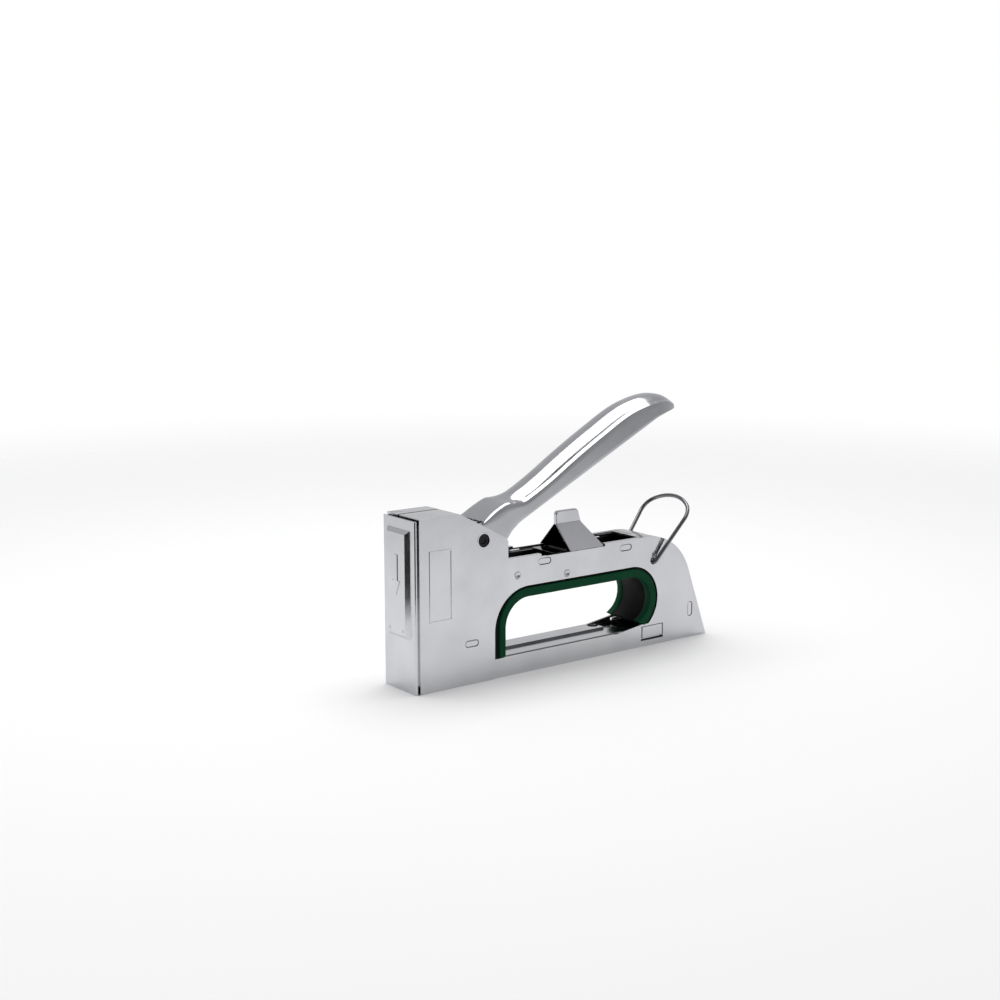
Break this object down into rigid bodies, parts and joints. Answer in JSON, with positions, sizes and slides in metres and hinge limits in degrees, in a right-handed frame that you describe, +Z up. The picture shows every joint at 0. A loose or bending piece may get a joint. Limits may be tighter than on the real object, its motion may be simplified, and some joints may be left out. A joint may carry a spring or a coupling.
{
  "type": "staple gun",
  "caption": "Hand staple gun in chromed pressed steel with a squeeze lever, green-lined hand hole, sliding force adjuster, wire lock bail and pull-out magazine.",
  "frame": {"origin": "middle of the base, at the centre of the tool's overall length and on its seam plane, at the height of the surface it stands on", "axes": "+X from the nose to the tail, +Y to the right-hand side of a user who holds it nose forward, +Z up"},
  "size_m": [0.1858, 0.0346, 0.1278],
  "materials": {
    "polished_chrome": "polished nickel-chrome plate over pressed steel",
    "chrome_inner": "plain plated steel, satin",
    "dark_steel": "oiled dark steel",
    "blued_pin": "blackened steel, semi-gloss",
    "spring_steel": "drawn spring wire and strip",
    "green_plastic": "moulded green plastic, fine satin",
    "black_rubber": "soft black elastomer, matte",
    "black_plastic": "moulded black plastic"
  },
  "bodies": {
    "housing": {"left_shell": "polished_chrome", "right_shell": "polished_chrome", "front_cover": "polished_chrome", "cover_rivets": "chrome_inner", "nose_frame": "chrome_inner", "nose_plate": "chrome_inner", "beam_bracket": "dark_steel", "tail_bracket": "dark_steel", "bracket_studs": "polished_chrome", "pivot_pin": "blued_pin", "pivot_bushes": "polished_chrome", "grip_frame": "green_plastic", "grip_pad": "black_rubber", "grip_seal": "black_rubber", "bumper": "black_rubber", "leaf_seat": "dark_steel", "leaf_clamp": "chrome_inner", "leaf_bolts": "blued_pin", "main_leaf": "dark_steel", "helper_leaf": "dark_steel", "staple_channel": "polished_chrome", "lever_springs": "spring_steel", "latch_spring": "spring_steel"},
    "lever": {"lever": "polished_chrome", "lifter": "chrome_inner", "lever_rivets": "chrome_inner"},
    "driver": {"driver_blade": "chrome_inner", "hammer": "dark_steel", "hammer_rivets": "dark_steel"},
    "adjuster": {"force_saddle": "polished_chrome", "adjuster_block": "dark_steel", "fulcrum_roller": "chrome_inner", "detent_spring": "spring_steel"},
    "bail": {"lock_bail": "spring_steel"},
    "magazine": {"magazine_rail": "chrome_inner", "rail_end": "polished_chrome", "rail_stop": "black_plastic", "pusher_rod": "chrome_inner", "pusher_spring": "spring_steel"},
    "pusher": {"pusher": "chrome_inner"},
    "left_latch": {"left_latch": "polished_chrome"},
    "right_latch": {"right_latch": "polished_chrome"}
  },
  "joints": [
    {"name": "lever_squeeze", "type": "hinge", "parent": "housing", "child": "lever", "pos_m": [-0.0523, 0, 0.0675], "axis": [0, 1, 0], "range_deg": [0, 20], "stiffness_Nm_per_rad": 3, "springref_deg": -8.59, "deforming": ["lever_springs"]},
    {"name": "driver_lift", "type": "slide", "parent": "housing", "child": "driver", "axis": [0, 0, 1], "range_m": [0, 0.01262], "deforming": ["main_leaf", "helper_leaf"]},
    {"name": "force_adjust", "type": "slide", "parent": "housing", "child": "adjuster", "axis": [-1, 0, 0], "range_m": [0, 0.017]},
    {"name": "bail_swing", "type": "hinge", "parent": "housing", "child": "bail", "pos_m": [0.0545, 0, 0.043], "axis": [0, 1, 0], "range_deg": [-80, 70]},
    {"name": "magazine_slide", "type": "slide", "parent": "housing", "child": "magazine", "axis": [1, 0, 0], "range_m": [0, 0.11]},
    {"name": "pusher_feed", "type": "slide", "parent": "magazine", "child": "pusher", "axis": [1, 0, 0], "range_m": [0, 0.084], "stiffness_N_per_m": 40, "springref_m": -0.06, "deforming": ["pusher_spring"]},
    {"name": "left_latch_press", "type": "slide", "parent": "housing", "child": "left_latch", "axis": [0, 1, 0], "range_m": [0, 0.0015], "stiffness_N_per_m": 600, "springref_m": -0.002, "deforming": ["latch_spring"]},
    {"name": "right_latch_press", "type": "slide", "parent": "housing", "child": "right_latch", "axis": [0, -1, 0], "range_m": [0, 0.0015], "stiffness_N_per_m": 600, "springref_m": -0.002}
  ],
  "couplings": [
    {"joint": "driver_lift", "follows": "lever_squeeze", "m_per_rad": 0.035572}
  ]
}
